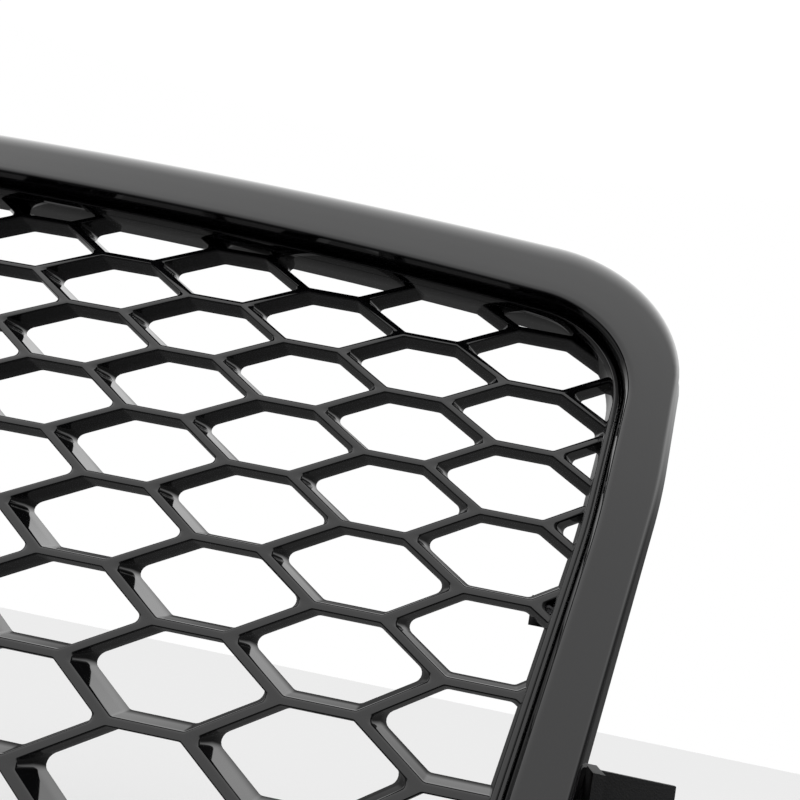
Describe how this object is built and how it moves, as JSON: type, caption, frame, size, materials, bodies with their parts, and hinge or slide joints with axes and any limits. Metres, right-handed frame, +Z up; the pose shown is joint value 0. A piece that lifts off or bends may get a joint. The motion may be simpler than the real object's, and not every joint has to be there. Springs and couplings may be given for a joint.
{
  "type": "front grille",
  "caption": "Raked honeycomb front grille: rounded surround bezel, trim ring and hexagonal mesh insert on a rear carrier with mounting tabs and side brackets.",
  "frame": {"origin": "on the upward seat of the middle top tab, on the centreline, 6 mm behind the tab's front edge", "axes": "+Z up as fitted, the front faces -Y, +X to the right when looking at the front"},
  "size_m": [0.8614, 0.3549, 0.4176],
  "materials": {
    "gloss_black": "piano-black painted ABS, clear coated",
    "satin_black": "fine-grained glass-filled polypropylene",
    "zinc_steel": "zinc plated",
    "dark_steel": "zinc-nickel plated, dulled",
    "foam_rubber": "closed-cell foam"
  },
  "bodies": {
    "root": {"bezel_screw_1": "zinc_steel", "bezel_screw_10": "zinc_steel", "bezel_screw_2": "zinc_steel", "bezel_screw_3": "zinc_steel", "bezel_screw_4": "zinc_steel", "bezel_screw_5": "zinc_steel", "bezel_screw_6": "zinc_steel", "bezel_screw_7": "zinc_steel", "bezel_screw_8": "zinc_steel", "bezel_screw_9": "zinc_steel", "bottom_foam_seal": "foam_rubber", "bottom_spring_clip_1": "zinc_steel", "bottom_spring_clip_2": "zinc_steel", "bottom_spring_clip_3": "zinc_steel", "bottom_spring_clip_4": "zinc_steel", "bracket_screw_1": "zinc_steel", "bracket_screw_2": "zinc_steel", "bracket_screw_3": "zinc_steel", "bracket_screw_4": "zinc_steel", "honeycomb_insert": "gloss_black", "inner_trim_ring": "gloss_black", "insert_screw_1": "zinc_steel", "insert_screw_2": "zinc_steel", "insert_screw_3": "zinc_steel", "insert_screw_4": "zinc_steel", "insert_screw_5": "zinc_steel", "insert_screw_6": "zinc_steel", "insert_screw_7": "zinc_steel", "insert_screw_8": "zinc_steel", "pocket_screw_left": "dark_steel", "pocket_screw_right": "dark_steel", "rear_carrier": "satin_black", "side_bracket_left": "satin_black", "side_bracket_right": "satin_black", "surround_bezel": "gloss_black", "top_foam_seal": "foam_rubber", "top_spring_nut_1": "zinc_steel", "top_spring_nut_2": "zinc_steel", "top_spring_nut_3": "zinc_steel", "top_spring_nut_4": "zinc_steel", "top_spring_nut_5": "zinc_steel"}
  },
  "joints": []
}
